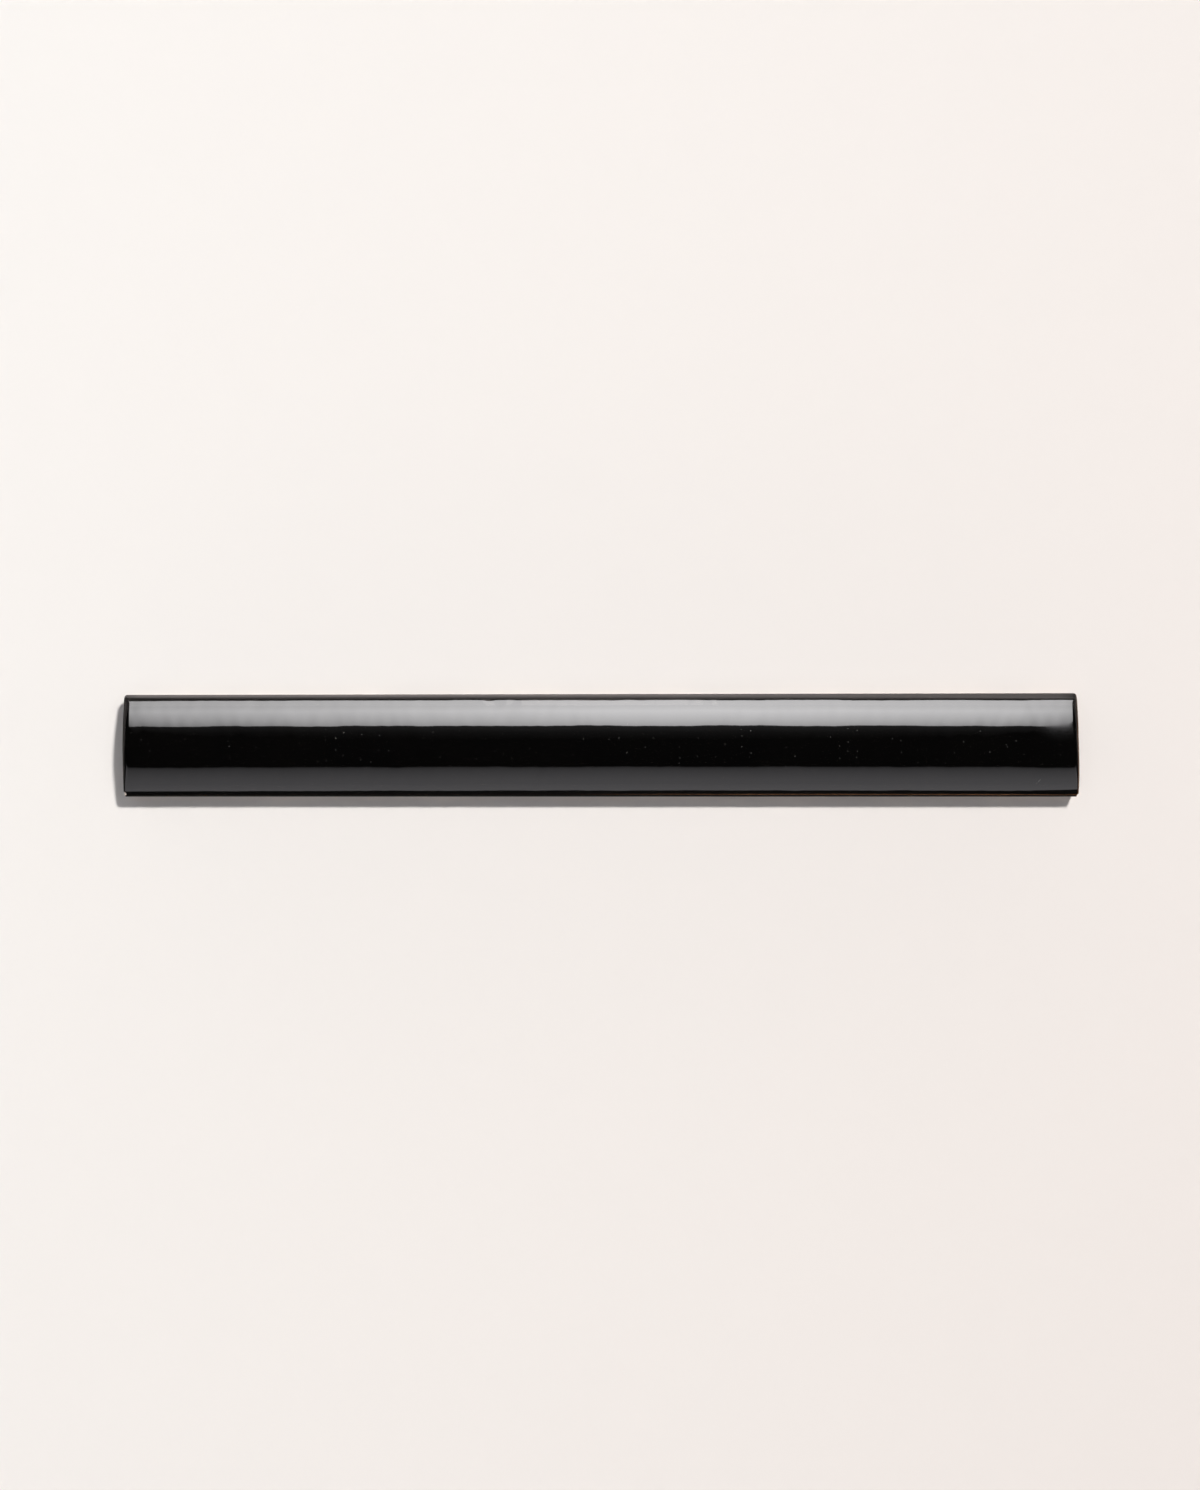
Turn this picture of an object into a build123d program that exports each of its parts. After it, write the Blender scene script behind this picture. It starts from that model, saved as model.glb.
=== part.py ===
"""Bead moulding tile: a glazed ceramic strip, pressed and fired as one piece.

The tile lies on its flat back. X runs along the strip, Y across it and Z out of the
back through the crown. The origin is the middle of the back.
"""
import os

from build123d import *

# Driving sizes, in millimetres
length = 152.0
width = 16.5
side_height = 7.0  # back to bevel, the thickness of the wall tiles that the bead borders
bevel_width = 0.45  # fettled bevel along each long edge, measured across the tile
bevel_height = 1.05
bead_rise = 3.5  # arris of the bevel to the crown
end_round = 1.0  # edge rolled over by the glaze around both ends

# Places worked out from the driving sizes
side_y = width / 2
arris_y = side_y - bevel_width
arris_z = side_height + bevel_height
crown_z = arris_z + bead_rise

with BuildPart() as tile:
    # Cross section: flat back, upright sides, narrow bevels and the round bead
    with BuildSketch(Plane.YZ) as section:
        with BuildLine() as outline:
            Polyline(
                (-arris_y, arris_z),
                (-side_y, side_height),
                (-side_y, 0),
                (side_y, 0),
                (side_y, side_height),
                (arris_y, arris_z),
            )
            ThreePointArc((arris_y, arris_z), (0, crown_z), (-arris_y, arris_z))
        make_face()
    extrude(amount=length / 2, both=True)

    # Both ends roll over along the sides, bevels and crown, and stay square on the back
    end_faces = tile.faces().filter_by(Axis.X)
    end_edges = end_faces.edges()
    back_edges = end_edges.group_by(Axis.Z)[0]
    fillet(end_edges - back_edges, radius=end_round)

tile.part.label = "bead_moulding_tile"

os.makedirs("parts", exist_ok=True)
export_step(tile.part, "parts/bead_moulding_tile.step")
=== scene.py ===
"""Bead moulding tile: a black glazed ceramic strip, seen from straight above on a pale floor.

Metres, in the frame of the CAD model: X along the strip, Y across it, Z up from the floor.
"""
import math

import bpy
import numpy as np
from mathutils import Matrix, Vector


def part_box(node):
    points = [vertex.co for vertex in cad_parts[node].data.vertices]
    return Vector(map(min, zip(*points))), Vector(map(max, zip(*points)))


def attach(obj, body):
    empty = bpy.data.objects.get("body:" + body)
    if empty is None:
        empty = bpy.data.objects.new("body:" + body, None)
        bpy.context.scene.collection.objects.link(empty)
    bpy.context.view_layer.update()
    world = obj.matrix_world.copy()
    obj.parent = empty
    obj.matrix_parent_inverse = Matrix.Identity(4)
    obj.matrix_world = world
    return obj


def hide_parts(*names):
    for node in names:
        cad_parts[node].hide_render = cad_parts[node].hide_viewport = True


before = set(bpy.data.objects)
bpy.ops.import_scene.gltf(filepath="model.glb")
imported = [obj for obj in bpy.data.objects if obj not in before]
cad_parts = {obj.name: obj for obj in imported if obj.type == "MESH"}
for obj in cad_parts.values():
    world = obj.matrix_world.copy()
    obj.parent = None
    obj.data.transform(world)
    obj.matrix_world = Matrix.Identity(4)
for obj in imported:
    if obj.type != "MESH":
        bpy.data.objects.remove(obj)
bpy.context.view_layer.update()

MM = 0.001
NODE = "bead_moulding_tile"

# Overall sizes come from the CAD node
HALF_LENGTH, HALF_WIDTH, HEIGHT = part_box(NODE)[1]

# Cross section, as in the CAD source
SIDE_HEIGHT = 7.0 * MM
BEVEL_WIDTH = 0.45 * MM
BEVEL_HEIGHT = 1.05 * MM
ARRIS_Y = HALF_WIDTH - BEVEL_WIDTH
ARRIS_Z = SIDE_HEIGHT + BEVEL_HEIGHT
BEAD_RISE = HEIGHT - ARRIS_Z
BEAD_RADIUS = (ARRIS_Y ** 2 + BEAD_RISE ** 2) / (2 * BEAD_RISE)
BEAD_CENTRE_Z = HEIGHT - BEAD_RADIUS

# Softening of the three corners of the half section, along each leg
BACK_CORNER = 0.25 * MM
FOOT_CORNER = 0.08 * MM
ARRIS_CORNER = 0.2 * MM

# Roll of each end: its reach over the crown, down the far side and down the near side,
# and how far above the arris it grows to the crown's reach on the far side and on the near side
LEFT_ROLL = (1.05 * MM, 0.45 * MM, 0.15 * MM, 1.0 * MM, 2.8 * MM)
RIGHT_ROLL = (0.95 * MM, 0.58 * MM, 0.12 * MM, 1.2 * MM, 2.8 * MM)
ROLL_START = 0.3 * MM  # how far below the arris it starts to grow

# Uneven outline, all of it inwards from the CAD box
LEFT_FAR_BEVEL = 0.59 * MM  # the fettled bevel is wider on the far side, most of all at the right
RIGHT_FAR_BEVEL = 0.74 * MM
NEAR_BEVEL = 0.34 * MM
LEFT_PINCH = 0.29 * MM  # the far side stands in by this much at the left end
BEAD_BOW = 0.18 * MM  # the bead bows towards the near side at its ends, from a little right of the middle
BOW_MIDDLE = 0.25
RIGHT_TURN = 0.25 * MM  # the crown turns towards the near side just before the right end
TURN_REACH = 12.0 * MM
END_HOLLOW = 0.09 * MM  # both ends are slightly hollow
RIGHT_SKEW = 0.2 * MM  # the far part of the right end stands back by this much
SKEW_PLACES = (-0.7 * HALF_WIDTH, 0.2 * HALF_WIDTH)  # where across the tile it starts and is full
LEFT_STEP = 0.12 * MM  # the near bevel stops this much short of the bead
RIGHT_STEP = 0.2 * MM
STEP_PLACES = (-0.95 * HALF_WIDTH, -0.85 * HALF_WIDTH)  # where across the tile it is full and ends
STEP_REACH = 3.0 * MM  # how far along the strip and how far below the arris it fades
STEP_FADE = 0.15 * MM
LEFT_DROOP = 0.055 * MM  # the bead eases down before each roll
RIGHT_DROOP = 0.1 * MM
DROOP_REACH = 1.2 * MM

# Waves in the fired glaze, which start a little below the arris
RIPPLE = 0.016 * MM
RIPPLE_WAVES = 60
RIPPLE_START = ARRIS_Z - 1.0 * MM
RIPPLE_FULL = ARRIS_Z + 0.5 * MM
LONGEST_WAVE = 30 * MM  # along the strip
SHORTEST_SHARE = 0.06  # the shortest wave along the strip, as a share of the longest
ACROSS_WAVES = (3 * MM, 14 * MM)  # the shortest and the longest wave across the strip
WAVE_POWER = 0.35  # how much lower the shorter waves are
SEED = 7

# Thin glaze on the near arris and along the edge of the rolled ends
THIN_ARRIS = 0.1 * MM  # how far from the arris it fades
THIN_END_FULL = 0.04 * MM  # how far from an end it is full, starts to fade and has faded
THIN_END_FADE = 0.05 * MM
THIN_END_STOP = 0.3 * MM
THIN_FOOT = 0.5 * MM  # how far below the bevel it stops

# Faults of the glaze
DENTS = ((-17.8 * MM, 0.02 * MM), (1.9 * MM, 0.008 * MM), (6.3 * MM, 0.01 * MM))  # place along X and depth
DENT_Y = 7.55 * MM  # small dents at the far arris
DENT_RADIUS = 0.7 * MM
CHIP = (-75.86 * MM, -7.85 * MM, 7.75 * MM)  # small chip at the near left corner
CHIP_RADII = (0.4 * MM, 0.42 * MM, 0.8 * MM)
CHIP_RIM = 0.7  # share of its radii at which the chip starts to run out
CHIP_FACE = (-0.75, -0.3, 0.6)  # which way its broken face looks
CHIP_DEPTH = 0.02 * MM  # how deep the break is where clay shows in full
SMEAR = (73.0 * MM, 1.9 * MM, HEIGHT)  # dull smear near the right end
SMEAR_RADII = (5.0 * MM, 2.4 * MM, 2.0 * MM)
SMEAR_ROUGHNESS = 0.165
SCRATCH = (69.5 * MM, -5.7 * MM, 9.9 * MM)  # short faint scratch on the near side, and how far it is turned
SCRATCH_RADII = (0.42 * MM, 0.05 * MM, 2.0 * MM)
SCRATCH_TURN = math.radians(50)
SCRATCH_SHARE = 0.15
SPECK_SPACING = 1.4 * MM  # sparse specks, whose radii are shares of their spacing
SPECK_EDGE = 0.033
SPECK_CORE = 0.02

# Colours and surfaces of the tile
BLACK = (0.0017, 0.0016, 0.0017, 1)
SOFT_BLACK = (0.0026, 0.0024, 0.0022, 1)
BROWN = (0.2, 0.095, 0.045, 1)
DUST = (0.74, 0.72, 0.68, 1)
DARK_CLAY = (0.50, 0.40, 0.33, 1)
PALE_CLAY = (0.70, 0.60, 0.52, 1)
# Paler clay in the chip: partly a fresh break, and partly painted light that brightens it where it lies in
# shade
BROKEN_CLAY_WITH_PAINTED_LIGHT = (0.86, 0.76, 0.70, 1)
CLAY_ROUGHNESS = 0.9
GLAZE_IOR = 1.6
RELIEF = 0.06 * MM  # height of the clay's grain
SKIN_SHARE = 0.06  # height of the glaze's faint skin, as a share of the grain's

# Points along each stretch of half a section, from the middle of the back to the crown
BACK_STEPS = 8
BACK_CORNER_STEPS = 4
SIDE_STEPS = 12
FOOT_STEPS = 5
BEVEL_STEPS = 5
ARRIS_STEPS = 7
ARC_POINTS = 46

# Rings along the strip
BODY_RINGS = 360
ROLL_RINGS = 10
RING_STEP = 0.45 * MM  # about how far apart the body's rings are, and how close they get at its ends
END_STEP = 0.05 * MM
STEP_GROWTH = 1.25

# Floor: its radii, the rise of its rim, and the steps of its curve and around it
FLOOR_MIDDLE = 0.5
FLOOR_FLAT = 2.2
FLOOR_SWEEP = 0.4
FLOOR_RIM = 0.7
FLOOR_CURVE_STEPS = 12
FLOOR_SIDES = 96

# Floor's tint, from the far left to the near right, and how much of it each metre adds
FLOOR_LIGHT = (0.973, 0.947, 0.921, 1)
FLOOR_DARK = (0.864, 0.804, 0.772, 1)
TINT_X = 2.95
TINT_Y = -1.15
TINT_MIDDLE = 0.5

# Painted reflection: what glossy rays see on the floor in place of its colour, dark close to the tile and
# bright only beyond its far side and faintly past its ends. How far the bright parts beyond the far side and
# past the ends reach, and their (share of the reach, level)
PAINTED_DARK_REFLECTION = (0, 0, 0, 1)
PAINTED_FLOOR_REFLECTION = (0.99, 0.90, 0.88, 1)
BEYOND_REACH = 0.1
BEYOND_LEVELS = [(0.0, 0.04), (0.02, 0.95), (0.2, 0.95), (0.6, 0.65)]
ENDWAYS_REACH = 0.4
ENDWAYS_LEVELS = [(0.02, 0.04), (0.04, 0.35), (0.6, 0.35), (1.0, 0.04)]

# Camera, standing over the tile
LENS = 100.0
SENSOR = 36.0
CLIP_START = 0.01
CAMERA_PLACE = (-0.000195, -0.00002, 0.6667)

# Small lamp, high over the far right, with its strength in watts for each square metre that faces it
LAMP_PLACE = (0.181, 0.25, 1.0)
LAMP_RADIUS = 0.0345
LAMP_COLOUR = (1.0, 0.985, 0.96)
LAMP_STRENGTH = 2.36

# Soft light from overhead, and a little from all around
SOFT_COLOUR = (0.88, 0.90, 0.95)
OVERHEAD_STRENGTH = 0.6
OVERHEAD_ANGLE = 50.0
AMBIENT = 0.062

# Upright light panels on both sides of the tile, which only its gloss sees: (elevation in degrees, level)
# from the panel's foot, and (share of the width, level) from the left
PANEL_DISTANCE = 0.9
KEY_WIDTH = 0.66
KEY_RADIANCE = 10.5
KEY_COLOUR = (1.0, 0.985, 0.995)
KEY_EDGE = 55.2  # elevation at which the bright part ends
KEY_BLUR = 0.6
KEY_UPWARD = [
    (3.0, 0.74), (17, 0.86), (27, 1.0), (40, 0.85), (KEY_EDGE, 0.59),
    (KEY_EDGE + KEY_BLUR, 0.02), (60.5, 0.015), (67, 0.0065), (74, 0.003), (80, 0.0),
]
KEY_SIDEWAYS = [
    (0.0, 0.3), (0.03, 0.34), (0.24, 0.70), (0.5, 0.99),
    (0.57, 1.0), (0.76, 0.87), (0.9, 0.63), (1.0, 0.49),
]
FILL_WIDTH = 3.0
FILL_RADIANCE = 1.06
FILL_COLOUR = (1.0, 0.975, 1.015)
FILL_EDGE = 49.0
FILL_BLUR = 2.5
FILL_UPWARD = [
    (1.2, 1.0), (25, 0.9), (37, 0.73), (45, 0.57), (FILL_EDGE, 0.4), (FILL_EDGE + FILL_BLUR, 0.0),
]
FILL_SIDEWAYS = [(0.42, 0.86), (0.5, 1.0), (0.6, 0.98)]


def lines_meet(point, direction, normal, level):
    """The point of a line where its dot product with the normal reaches the level."""
    step = (level - point @ normal) / (direction @ normal)
    return point + direction * step


def straight(start, end, count):
    """Evenly spaced points from start up to, but not including, end."""
    share = np.linspace(0, 1, count, endpoint=False)[:, None]
    return start + (end - start) * share


def soft_corner(start, corner, end, count):
    """A quadratic curve that cuts a corner, from start up to, but not including, end."""
    share = np.linspace(0, 1, count, endpoint=False)[:, None]
    return (1 - share) ** 2 * start + 2 * share * (1 - share) * corner + share ** 2 * end


def smooth_step(value, start, end):
    """Rises smoothly from 0 at the start to 1 at the end."""
    share = np.clip((value - start) / (end - start), 0, 1)
    return share * share * (3 - 2 * share)


def bead_height(y):
    """Height of the bead's arc at a place across the tile."""
    return BEAD_CENTRE_Z + math.sqrt(BEAD_RADIUS ** 2 - y ** 2)


def half_section(inset, bevel_width):
    """Half of the cross section moved inwards: (y, z) points from the middle of the back to the crown."""
    up = np.array([0.0, 1.0])
    across = np.array([1.0, 0.0])
    back_corner = np.array([HALF_WIDTH - inset, 0.0])
    bevel_foot = np.array([HALF_WIDTH, SIDE_HEIGHT])
    arris_y = HALF_WIDTH - bevel_width
    slope = np.array([arris_y, bead_height(arris_y)]) - bevel_foot
    slope = slope / np.linalg.norm(slope)
    outward = np.array([slope[1], -slope[0]])
    foot = lines_meet(back_corner, up, outward, bevel_foot @ outward - inset)

    # Where the bevel meets the bead's arc
    radius = BEAD_RADIUS - inset
    centre = np.array([0.0, BEAD_CENTRE_Z])
    from_centre = foot - centre
    along = from_centre @ slope
    reach = -along + math.sqrt(along ** 2 - from_centre @ from_centre + radius ** 2)
    arris = foot + slope * reach
    arc_start = math.asin(arris[0] / radius) - ARRIS_CORNER / radius
    angles = np.linspace(arc_start, 0, ARC_POINTS)
    arc = centre + radius * np.stack([np.sin(angles), np.cos(angles)], axis=1)

    # Where each straight stretch gives way to a soft corner
    back_end = back_corner - across * BACK_CORNER
    side_start = back_corner + up * BACK_CORNER
    side_end = foot - up * FOOT_CORNER
    bevel_start = foot + slope * FOOT_CORNER
    bevel_end = arris - slope * ARRIS_CORNER
    return np.concatenate([
        straight(np.zeros(2), back_end, BACK_STEPS),
        soft_corner(back_end, back_corner, side_start, BACK_CORNER_STEPS),
        straight(side_start, side_end, SIDE_STEPS),
        soft_corner(side_end, foot, bevel_start, FOOT_STEPS),
        straight(bevel_start, bevel_end, BEVEL_STEPS),
        soft_corner(bevel_end, arris, arc[0], ARRIS_STEPS),
        arc,
    ])


def whole_section(inset, far_bevel):
    """The closed cross section: up the far (+Y) side, over the crown and down the near side."""
    far = half_section(inset, far_bevel)
    near = half_section(inset, NEAR_BEVEL)[-2:0:-1] * np.array([-1.0, 1.0])
    return np.concatenate([far, near])


def section_normals(section):
    """Outward unit normals of the closed section."""
    along = np.roll(section, -1, axis=0) - np.roll(section, 1, axis=0)
    normals = np.stack([along[:, 1], -along[:, 0]], axis=1)
    return normals / np.linalg.norm(normals, axis=1)[:, None]


def roll_reach(section, crown, far, near, far_growth, near_growth):
    """How far in from an end its roll starts, at each point of the section."""
    far_side = smooth_step(section[:, 0], -HALF_WIDTH / 2, HALF_WIDTH / 2)
    side = near + (far - near) * far_side
    growth = near_growth + (far_growth - near_growth) * far_side
    on_bead = smooth_step(section[:, 1], ARRIS_Z - ROLL_START, ARRIS_Z + growth)
    return side + (crown - side) * on_bead


def end_rings(far_bevel, roll):
    """The section at an end, where its roll starts, and the rings of the roll.

    Each ring is (x from the end, section).
    """
    section = whole_section(0.0, far_bevel)
    inward = (whole_section(MM, far_bevel) - section) / MM
    reach = roll_reach(section, *roll)
    rings = []
    for turn in np.linspace(0, math.pi / 2, ROLL_RINGS + 1):
        inset = reach * (1 - math.cos(turn))
        rings.append((reach * (1 - math.sin(turn)), section + inward * inset[:, None]))
    return section, reach, rings


def body_shares():
    """Shares of the body's length at its rings, which crowd towards both ends."""
    steps = np.minimum(END_STEP * STEP_GROWTH ** np.arange(BODY_RINGS // 2), RING_STEP)
    places = np.cumsum(np.concatenate([steps, steps[::-1]]))
    return places[:-1] / places[-1]


def ring_points():
    """Rings of points along X: the rolled left end, the body and the rolled right end."""
    left, left_reach, left_rings = end_rings(LEFT_FAR_BEVEL, LEFT_ROLL)
    right, right_reach, right_rings = end_rings(RIGHT_FAR_BEVEL, RIGHT_ROLL)
    rings = [(x - HALF_LENGTH, section) for x, section in reversed(left_rings)]
    for share in body_shares():
        x = (left_reach - HALF_LENGTH) * (1 - share) + (HALF_LENGTH - right_reach) * share
        rings.append((x, left * (1 - share) + right * share))
    rings += [(HALF_LENGTH - x, section) for x, section in right_rings]
    return np.array([np.column_stack(ring) for ring in rings])


def ripple_height(x, y):
    """Waves in the fired glaze, the short ones lower, as a height over the plain surface."""
    random = np.random.RandomState(SEED)
    height = np.zeros_like(x)
    for _ in range(RIPPLE_WAVES):
        along_wave = LONGEST_WAVE * SHORTEST_SHARE ** random.uniform(0, 1)
        across_wave = random.uniform(*ACROSS_WAVES) * random.choice([-1, 1])
        phase = random.uniform(0, 2 * math.pi)
        size = abs(across_wave) / ACROSS_WAVES[1] * (along_wave / LONGEST_WAVE) ** WAVE_POWER
        height += size * np.sin(2 * math.pi * (x / along_wave + y / across_wave) + phase)
    return height * RIPPLE / math.sqrt(RIPPLE_WAVES)


def dent_depth(x, y):
    """Small dents in the glaze at the far arris."""
    depth = np.zeros_like(x)
    for place, deepest in DENTS:
        depth += deepest * np.exp(-((x - place) ** 2 + (y - DENT_Y) ** 2) / DENT_RADIUS ** 2)
    return depth


def cut_chip(points):
    """Breaks off the chip, and returns 1 on its face and 0 elsewhere."""
    offset = points - np.array(CHIP)
    share = 1 - smooth_step(np.linalg.norm(offset / np.array(CHIP_RADII), axis=-1), CHIP_RIM, 1.0)
    face = np.array(CHIP_FACE) / np.linalg.norm(CHIP_FACE)
    depth = np.maximum(offset @ face, 0) * share
    points -= face * depth[..., None]
    return smooth_step(depth, 0, CHIP_DEPTH)


def end_shift(x, y, z):
    """Shift along X: both ends are hollow, the right one isn't quite square, the near bevel stops short."""
    hollow = END_HOLLOW * (1 - (y / HALF_WIDTH) ** 2)
    skew = np.where(x > 0, RIGHT_SKEW, 0) * smooth_step(y, *SKEW_PLACES)
    near_side = 1 - smooth_step(y, *STEP_PLACES)
    at_end = smooth_step(np.abs(x), HALF_LENGTH - STEP_REACH, HALF_LENGTH)
    under_bead = 1 - smooth_step(z, ARRIS_Z - STEP_FADE, ARRIS_Z)
    step = np.where(x > 0, RIGHT_STEP, LEFT_STEP) * near_side * at_end * under_bead
    return x / HALF_LENGTH * (hollow + skew + step)


def warp(points):
    """Adds the glaze's ripple, the droop towards the ends and the slightly uneven outline."""
    x, y, z = np.moveaxis(points.copy(), -1, 0)
    on_glaze = smooth_step(z, RIPPLE_START, RIPPLE_FULL)
    droop = np.where(x > 0, RIGHT_DROOP, LEFT_DROOP) * np.exp((np.abs(x) - HALF_LENGTH) / DROOP_REACH)
    lift = (ripple_height(x, y) - 2 * RIPPLE - dent_depth(x, y) - droop) * on_glaze
    normals = section_normals(points[len(points) // 2, :, 1:])
    points[..., 1:] += normals[None] * lift[..., None]

    # Across: the far side runs in towards the left, the bead bows and its crown turns
    on_bead = smooth_step(z, SIDE_HEIGHT, ARRIS_Z)
    left_share = (1 - x / HALF_LENGTH) / 2
    pinch = LEFT_PINCH * left_share * np.maximum(y, 0) / HALF_WIDTH
    bow = BEAD_BOW * ((x / HALF_LENGTH - BOW_MIDDLE) / (1 + BOW_MIDDLE)) ** 2
    turn = RIGHT_TURN * smooth_step(x, HALF_LENGTH - TURN_REACH, HALF_LENGTH) * (1 - (y / HALF_WIDTH) ** 2)
    points[..., 1] -= pinch * (1 - on_bead) + (bow + turn) * on_bead

    points[..., 0] -= end_shift(x, y, z)


def thin_glaze(points):
    """1 where the glaze is thin, on the near arris and along the edge of the rolled ends, and 0 elsewhere."""
    x, y, z = np.moveaxis(points, -1, 0)
    arris_y = HALF_WIDTH - NEAR_BEVEL
    arris_gap = np.hypot(y + arris_y, z - bead_height(arris_y))
    on_arris = np.exp(-(arris_gap / THIN_ARRIS) ** 2)
    from_end = HALF_LENGTH - np.abs(x)
    rising = smooth_step(from_end, 0, THIN_END_FULL)
    fading = 1 - smooth_step(from_end, THIN_END_FADE, THIN_END_STOP)
    above_foot = smooth_step(z, SIDE_HEIGHT - THIN_FOOT, SIDE_HEIGHT)
    return np.maximum(on_arris, rising * fading * above_foot)


def end_grid(ring, side):
    """Rows of points across an end face, between the far and the near half of its ring."""
    rows = np.arange(BACK_STEPS + 1, len(ring) // 2)
    share = np.linspace(0, 1, 2 * BACK_STEPS + 1)[1:-1, None]
    far = ring[rows][:, None]
    near = ring[-rows][:, None]
    grid = far + (near - far) * share
    grid[..., 0] = side * HALF_LENGTH
    grid[..., 0] -= end_shift(*np.moveaxis(grid, -1, 0))
    return grid


def end_faces(start, count, grid_start):
    """Faces of an end, from its ring of points and the grid of points inside that."""
    inner = 2 * BACK_STEPS - 1
    rows = [[start + place % count for place in range(BACK_STEPS, -BACK_STEPS - 1, -1)]]
    for row in range(BACK_STEPS + 1, count // 2):
        first = grid_start + (row - BACK_STEPS - 1) * inner
        rows.append([start + row, *range(first, first + inner), start + count - row])
    rows.append([start + count // 2] * (inner + 2))
    faces = []
    for lower, upper in zip(rows, rows[1:]):
        for step in range(inner + 1):
            corners = (lower[step], lower[step + 1], upper[step + 1], upper[step])
            faces.append(tuple(dict.fromkeys(corners)))
    return faces


def tile_mesh():
    """The closed mesh of the tile: its rings, its two end faces, and where it is thin or chipped."""
    points = ring_points()
    thin = thin_glaze(points)
    warp(points)
    chip = cut_chip(points)

    rings, count = points.shape[:2]
    faces = []
    for start in range(0, (rings - 1) * count, count):
        for step in range(count):
            ahead = (step + 1) % count
            faces.append((start + step, start + ahead, start + count + ahead, start + count + step))
    left_grid = end_grid(points[0], -1).reshape(-1, 3)
    right_grid = end_grid(points[-1], 1).reshape(-1, 3)
    left_start = rings * count
    right_start = left_start + len(left_grid)
    faces += end_faces(0, count, left_start)
    faces += [face[::-1] for face in end_faces((rings - 1) * count, count, right_start)]

    mesh = bpy.data.meshes.new("tile")
    mesh.from_pydata(np.concatenate([points.reshape(-1, 3), left_grid, right_grid]).tolist(), [], faces)
    inside = np.zeros(len(left_grid) + len(right_grid))
    for name, values in (("thin_glaze", thin), ("chip", chip)):
        layer = mesh.attributes.new(name, "FLOAT", "POINT")
        layer.data.foreach_set("value", np.concatenate([values.ravel(), inside]))
    mesh.shade_smooth()
    return mesh


class Nodes:
    """Short calls that add nodes to a tree and link them."""

    def __init__(self, tree):
        self.tree = tree

    def link(self, value, socket):
        if isinstance(value, bpy.types.NodeSocket):
            self.tree.links.new(value, socket)
        else:
            socket.default_value = value

    def add(self, kind, **settings):
        node = self.tree.nodes.new("ShaderNode" + kind)
        for name, value in settings.items():
            setattr(node, name, value)
        return node

    def axes(self, place):
        """The three numbers of a place."""
        node = self.add("SeparateXYZ")
        self.link(place, node.inputs[0])
        return node.outputs

    def attribute(self, name):
        return self.add("Attribute", attribute_name=name).outputs["Fac"]

    def math(self, operation, first, second=0.0, clamp=False):
        node = self.add("Math", operation=operation, use_clamp=clamp)
        self.link(first, node.inputs[0])
        self.link(second, node.inputs[1])
        return node.outputs[0]

    def product(self, first, *others):
        for other in others:
            first = self.math("MULTIPLY", first, other)
        return first

    def range(self, value, start, end, low=0.0, high=1.0, smooth=False):
        """Low at the start, high at the end, and in between from one to the other."""
        node = self.add("MapRange", interpolation_type="SMOOTHSTEP" if smooth else "LINEAR")
        for socket, number in zip(node.inputs, (value, start, end, low, high)):
            self.link(number, socket)
        return node.outputs[0]

    def mix(self, share, first, second):
        """A colour between two others."""
        node = self.add("Mix", data_type="RGBA")
        self.link(share, node.inputs[0])
        self.link(first, node.inputs[6])
        self.link(second, node.inputs[7])
        return node.outputs[2]

    def noise(self, place, wave, detail=2.0):
        """Noise of about the given wavelength in metres, from 0 to 1."""
        node = self.add("TexNoise")
        self.link(place, node.inputs["Vector"])
        node.inputs["Scale"].default_value = 1 / wave
        node.inputs["Detail"].default_value = detail
        return node.outputs[0]

    def distance(self, place, centre, radii, turn=0.0):
        """Distance from the centre, where 1 is the surface of an ellipsoid.

        The ellipsoid has the given radii and is turned about Z.
        """
        offset = self.add("VectorMath", operation="SUBTRACT")
        self.link(place, offset.inputs[0])
        self.link(centre, offset.inputs[1])
        turned = self.add("VectorRotate", rotation_type="Z_AXIS")
        self.link(offset.outputs[0], turned.inputs["Vector"])
        turned.inputs["Angle"].default_value = -turn
        scaled = self.add("VectorMath", operation="DIVIDE")
        self.link(turned.outputs[0], scaled.inputs[0])
        self.link(radii, scaled.inputs[1])
        length = self.add("VectorMath", operation="LENGTH")
        self.link(scaled.outputs[0], length.inputs[0])
        return length.outputs["Value"]

    def ramp(self, value, stops):
        """A grey ramp with straight runs between (place, level) stops."""
        node = self.add("ValToRGB")
        elements = node.color_ramp.elements
        for _ in stops[2:]:
            elements.new(0.5)
        for element, (place, level) in zip(elements, stops):
            element.position = place
            element.color = (level, level, level, 1)
        self.link(value, node.inputs[0])
        return node.outputs[0]


def new_material(name):
    material = bpy.data.materials.new(name)
    material.use_nodes = True
    return material, Nodes(material.node_tree), material.node_tree.nodes["Principled BSDF"]


def glaze_colour(nodes, place, x):
    """Black that breaks brown where the glaze is thin, most of all towards the right end."""
    patchy = nodes.range(nodes.noise(place, 6 * MM, 3.0), 0.3, 0.5, 0.55, 1.0)
    rightward = nodes.range(x, -5 * MM, 25 * MM, 0.04, 1.0)
    brown_share = nodes.product(nodes.attribute("thin_glaze"), patchy, rightward)
    black = nodes.mix(nodes.noise(place, 9 * MM), BLACK, SOFT_BLACK)
    return nodes.mix(brown_share, black, BROWN)


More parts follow.
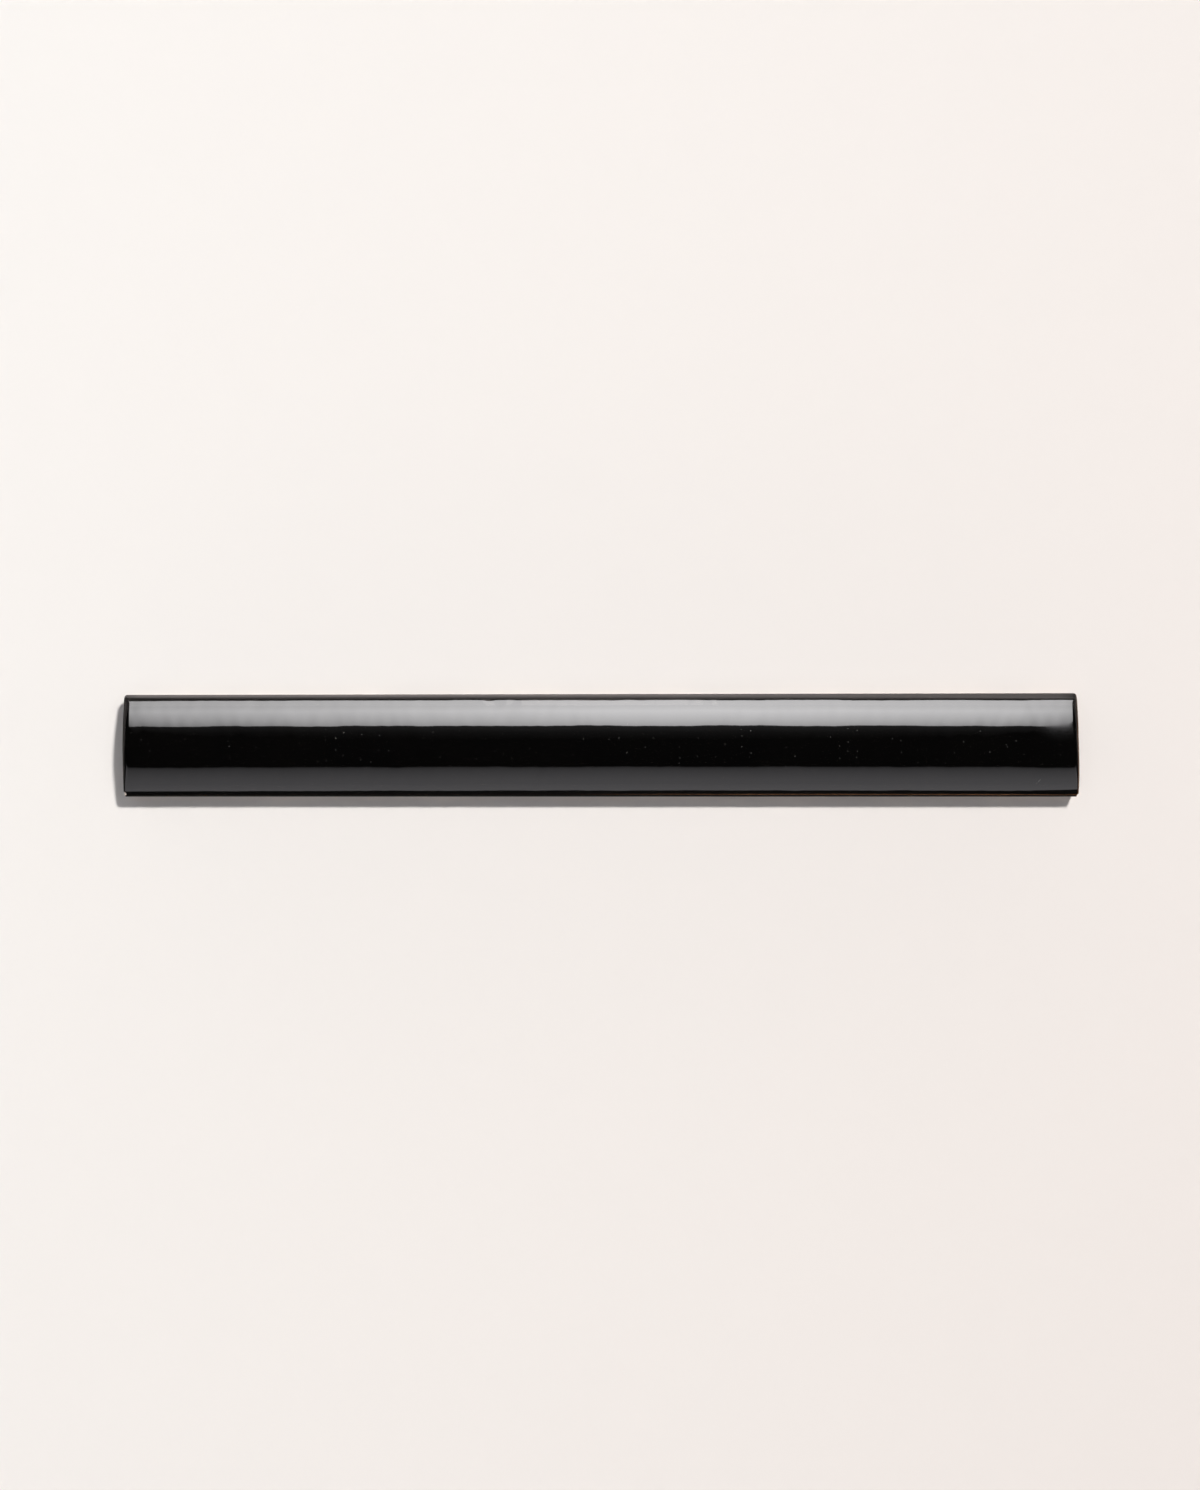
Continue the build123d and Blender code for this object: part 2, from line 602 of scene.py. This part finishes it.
def speck_share(nodes, place, y, z):
    """Sparse pale specks of dust and pinholes over the crown, in loose clusters."""
    cells = nodes.add("TexVoronoi", voronoi_dimensions="2D")
    nodes.link(place, cells.inputs["Vector"])
    cells.inputs["Scale"].default_value = 1 / SPECK_SPACING
    speck = nodes.range(cells.outputs["Distance"], SPECK_EDGE, SPECK_CORE)
    chosen = nodes.add("SeparateColor")
    nodes.link(cells.outputs["Color"], chosen.inputs[0])
    bright = nodes.range(chosen.outputs[0], 0.75, 1.0)
    crowded = nodes.range(nodes.noise(place, 14 * MM), 0.4, 0.6, 0.1, 1.0)
    on_bead = nodes.range(z, ARRIS_Z, ARRIS_Z + 0.1 * MM)
    on_crown = nodes.range(nodes.math("ABSOLUTE", y), 4.0 * MM, 2.8 * MM)
    return nodes.product(speck, bright, crowded, on_bead, on_crown)


def clay_line(nodes, place, z):
    """1 below an uneven line around the sides and ends, where the glaze stops, and 0 above it."""
    line = nodes.range(nodes.noise(place, 11 * MM, 4.0), 0.25, 0.75, 0.2 * MM, 1.2 * MM)
    return nodes.range(nodes.math("SUBTRACT", z, line), 0.12 * MM, -0.12 * MM)


def glaze_roughness(nodes, place):
    """Nearly a mirror, apart from the dull smear."""
    gloss = nodes.range(nodes.noise(place, 4 * MM), 0.2, 0.8, 0.03, 0.055)
    from_smear = nodes.distance(place, SMEAR, SMEAR_RADII)
    smear = nodes.range(from_smear, 0.3, 1.0, SMEAR_ROUGHNESS, 0.0, smooth=True)
    return nodes.math("ADD", gloss, smear)


def glaze_material():
    """Black gloss glaze with its faults, over bare buff clay near the back and in the chip."""
    material, nodes, shader = new_material("black_glaze")
    place = nodes.add("TexCoord").outputs["Object"]
    x, y, z = nodes.axes(place)

    # Colour: glaze, then specks and the scratch, then clay
    speck = speck_share(nodes, place, y, z)
    from_scratch = nodes.distance(place, SCRATCH, SCRATCH_RADII, SCRATCH_TURN)
    scratch = nodes.range(from_scratch, 1.0, 0.6, 0.0, SCRATCH_SHARE)
    glaze = nodes.mix(nodes.math("MAXIMUM", speck, scratch), glaze_colour(nodes, place, x), DUST)
    chip = nodes.attribute("chip")
    clay_share = nodes.math("MAXIMUM", clay_line(nodes, place, z), chip)
    grain = nodes.noise(place, 0.35 * MM, 4.0)
    # The chip's clay is a fresh break, brightened further as painted light
    clay = nodes.mix(chip, nodes.mix(grain, DARK_CLAY, PALE_CLAY), BROKEN_CLAY_WITH_PAINTED_LIGHT)
    nodes.link(nodes.mix(clay_share, glaze, clay), shader.inputs["Base Color"])

    # Gloss on the glaze, dull on specks and clay
    roughness = nodes.add("Mix", data_type="FLOAT")
    nodes.link(nodes.math("MAXIMUM", clay_share, speck), roughness.inputs[0])
    nodes.link(glaze_roughness(nodes, place), roughness.inputs[2])
    roughness.inputs[3].default_value = CLAY_ROUGHNESS
    nodes.link(roughness.outputs[0], shader.inputs["Roughness"])
    shader.inputs["IOR"].default_value = GLAZE_IOR

    # Relief: grain on the clay and a faint skin on the glaze
    skin = nodes.math("MULTIPLY", nodes.noise(place, 1.6 * MM), SKIN_SHARE)
    bump = nodes.add("Bump")
    bump.inputs["Distance"].default_value = RELIEF
    nodes.link(nodes.math("ADD", skin, nodes.math("MULTIPLY", grain, clay_share)), bump.inputs["Height"])
    nodes.link(bump.outputs[0], shader.inputs["Normal"])
    return material


def painted_floor_in_gloss(nodes, x, y):
    """Painted reflection of the floor in the tile's gloss: bright beside its far side, and painted dark close
    to its other sides.
    """
    past_end = nodes.math("SUBTRACT", nodes.math("ABSOLUTE", x), HALF_LENGTH)
    from_axis = nodes.math("ABSOLUTE", y)
    beyond = nodes.ramp(nodes.range(y, HALF_WIDTH, HALF_WIDTH + BEYOND_REACH), BEYOND_LEVELS)
    beyond = nodes.math("MULTIPLY", beyond, nodes.range(past_end, -1 * MM, 4 * MM, 1.0, 0.4))
    endways = nodes.ramp(nodes.range(past_end, 0, ENDWAYS_REACH), ENDWAYS_LEVELS)
    endways = nodes.math("MULTIPLY", endways, nodes.range(from_axis, HALF_WIDTH, 2 * HALF_WIDTH, 1.0, 0.1))
    return nodes.mix(nodes.math("MAXIMUM", beyond, endways), PAINTED_DARK_REFLECTION, PAINTED_FLOOR_REFLECTION)


def floor_material():
    """Matt pale paper, lightest at the far left, and a little darker and pinker towards the near right."""
    material, nodes, shader = new_material("pale_floor")
    x, y, _ = nodes.axes(nodes.add("TexCoord").outputs["Object"])
    across = nodes.math("MULTIPLY", x, TINT_X)
    deep = nodes.math("MULTIPLY", y, TINT_Y)
    share = nodes.math("ADD", nodes.math("ADD", across, deep), TINT_MIDDLE, clamp=True)
    colour = nodes.mix(share, FLOOR_LIGHT, FLOOR_DARK)
    # Glossy rays get the painted reflection in place of the floor's own colour
    is_gloss = nodes.add("LightPath").outputs["Is Glossy Ray"]
    nodes.link(nodes.mix(is_gloss, colour, painted_floor_in_gloss(nodes, x, y)), shader.inputs["Base Color"])
    shader.inputs["Roughness"].default_value = 1.0
    shader.inputs["Specular IOR Level"].default_value = 0.0
    return material


def make_tile():
    piece = bpy.data.objects.new("tile", tile_mesh())
    bpy.context.scene.collection.objects.link(piece)
    piece.data.materials.append(glaze_material())
    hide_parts(NODE)
    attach(piece, "root")


def floor_mesh():
    """A round floor with a low curved rim, so that low views end in the same pale colour."""
    profile = [(FLOOR_MIDDLE, 0.0), (FLOOR_FLAT, 0.0)]
    for step in range(1, FLOOR_CURVE_STEPS + 1):
        turn = math.pi / 2 * step / FLOOR_CURVE_STEPS
        profile.append((FLOOR_FLAT + FLOOR_SWEEP * math.sin(turn), FLOOR_SWEEP * (1 - math.cos(turn))))
    profile.append((FLOOR_FLAT + FLOOR_SWEEP, FLOOR_RIM))
    points = [(0.0, 0.0, 0.0)]
    for radius, level in profile:
        for side in range(FLOOR_SIDES):
            turn = 2 * math.pi * side / FLOOR_SIDES
            points.append((radius * math.cos(turn), radius * math.sin(turn), level))
    faces = []
    for side in range(FLOOR_SIDES):
        ahead = (side + 1) % FLOOR_SIDES
        faces.append((0, 1 + side, 1 + ahead))
        for ring in range(len(profile) - 1):
            inner = 1 + ring * FLOOR_SIDES
            outer = inner + FLOOR_SIDES
            faces.append((inner + side, outer + side, outer + ahead, inner + ahead))
    mesh = bpy.data.meshes.new("floor")
    mesh.from_pydata(points, [], faces)
    mesh.shade_smooth()
    return mesh


def make_floor():
    floor = bpy.data.objects.new("floor", floor_mesh())
    bpy.context.scene.collection.objects.link(floor)
    floor.data.materials.append(floor_material())


def make_small_lamp():
    """A lamp that casts the shadow, and is as strong far away as it is nearby."""
    light = bpy.data.lights.new("small_lamp", "POINT")
    light.energy = LAMP_STRENGTH * 4 * math.pi
    light.color = LAMP_COLOUR
    light.shadow_soft_size = LAMP_RADIUS
    light.use_nodes = True
    nodes = Nodes(light.node_tree)
    falloff = nodes.add("LightFalloff")
    falloff.inputs["Strength"].default_value = 1.0
    nodes.link(falloff.outputs["Constant"], light.node_tree.nodes["Emission"].inputs["Strength"])
    lamp = bpy.data.objects.new("small_lamp", light)
    lamp.location = LAMP_PLACE
    lamp.visible_camera = False
    lamp.visible_glossy = False
    bpy.context.scene.collection.objects.link(lamp)


def make_overhead():
    """Wide soft light from straight above, which lightens the shadow."""
    light = bpy.data.lights.new("overhead", "SUN")
    light.energy = OVERHEAD_STRENGTH
    light.color = SOFT_COLOUR
    light.angle = math.radians(OVERHEAD_ANGLE)
    lamp = bpy.data.objects.new("overhead", light)
    lamp.visible_glossy = False
    bpy.context.scene.collection.objects.link(lamp)


def panel_level(elevation):
    """The height on a panel that the tile sees at the given elevation in degrees."""
    return HEIGHT + PANEL_DISTANCE * math.tan(math.radians(elevation))


def make_panel(name, side, width, radiance, colour, upward, sideways):
    """An upright light panel on the far side of the tile (1) or the near side (-1)."""
    foot = panel_level(upward[0][0])
    height = panel_level(upward[-1][0]) - foot
    light = bpy.data.lights.new(name, "AREA")
    light.shape = "RECTANGLE"
    light.size = width
    light.size_y = height
    light.energy = radiance * math.pi * width * height
    light.color = colour
    light.use_nodes = True
    nodes = Nodes(light.node_tree)
    axes = nodes.axes(nodes.add("NewGeometry").outputs["Parametric"])
    stops = [((panel_level(angle) - foot) / height, level) for angle, level in upward]
    rising = nodes.ramp(axes[1], stops)
    from_left = nodes.math("SUBTRACT", 1.0, axes[0]) if side > 0 else axes[0]
    spread = nodes.ramp(from_left, sideways)
    emission = light.node_tree.nodes["Emission"]
    nodes.link(nodes.math("MULTIPLY", rising, spread), emission.inputs["Strength"])

    lamp = bpy.data.objects.new(name, light)
    lamp.location = (0, side * PANEL_DISTANCE, foot + height / 2)
    lamp.rotation_euler = (math.pi / 2, 0, math.pi if side > 0 else 0)
    lamp.visible_camera = False
    lamp.visible_diffuse = False
    bpy.context.scene.collection.objects.link(lamp)


def make_world():
    """Even soft light that the gloss doesn't mirror."""
    world = bpy.data.worlds.new("studio")
    bpy.context.scene.world = world
    world.use_nodes = True
    background = world.node_tree.nodes["Background"]
    background.inputs["Color"].default_value = (*SOFT_COLOUR, 1)
    background.inputs["Strength"].default_value = AMBIENT
    world.cycles_visibility.glossy = False


def make_lights():
    make_small_lamp()
    make_overhead()
    make_panel("key_panel", 1, KEY_WIDTH, KEY_RADIANCE, KEY_COLOUR, KEY_UPWARD, KEY_SIDEWAYS)
    make_panel("fill_panel", -1, FILL_WIDTH, FILL_RADIANCE, FILL_COLOUR, FILL_UPWARD, FILL_SIDEWAYS)
    make_world()


def make_camera():
    camera = bpy.data.objects.new("camera", bpy.data.cameras.new("camera"))
    camera.data.lens = LENS
    camera.data.sensor_width = SENSOR
    camera.data.clip_start = CLIP_START
    camera.location = CAMERA_PLACE
    bpy.context.scene.collection.objects.link(camera)
    bpy.context.scene.camera = camera


make_tile()
make_floor()
make_lights()
make_camera()
bpy.context.scene.view_settings.view_transform = "Standard"
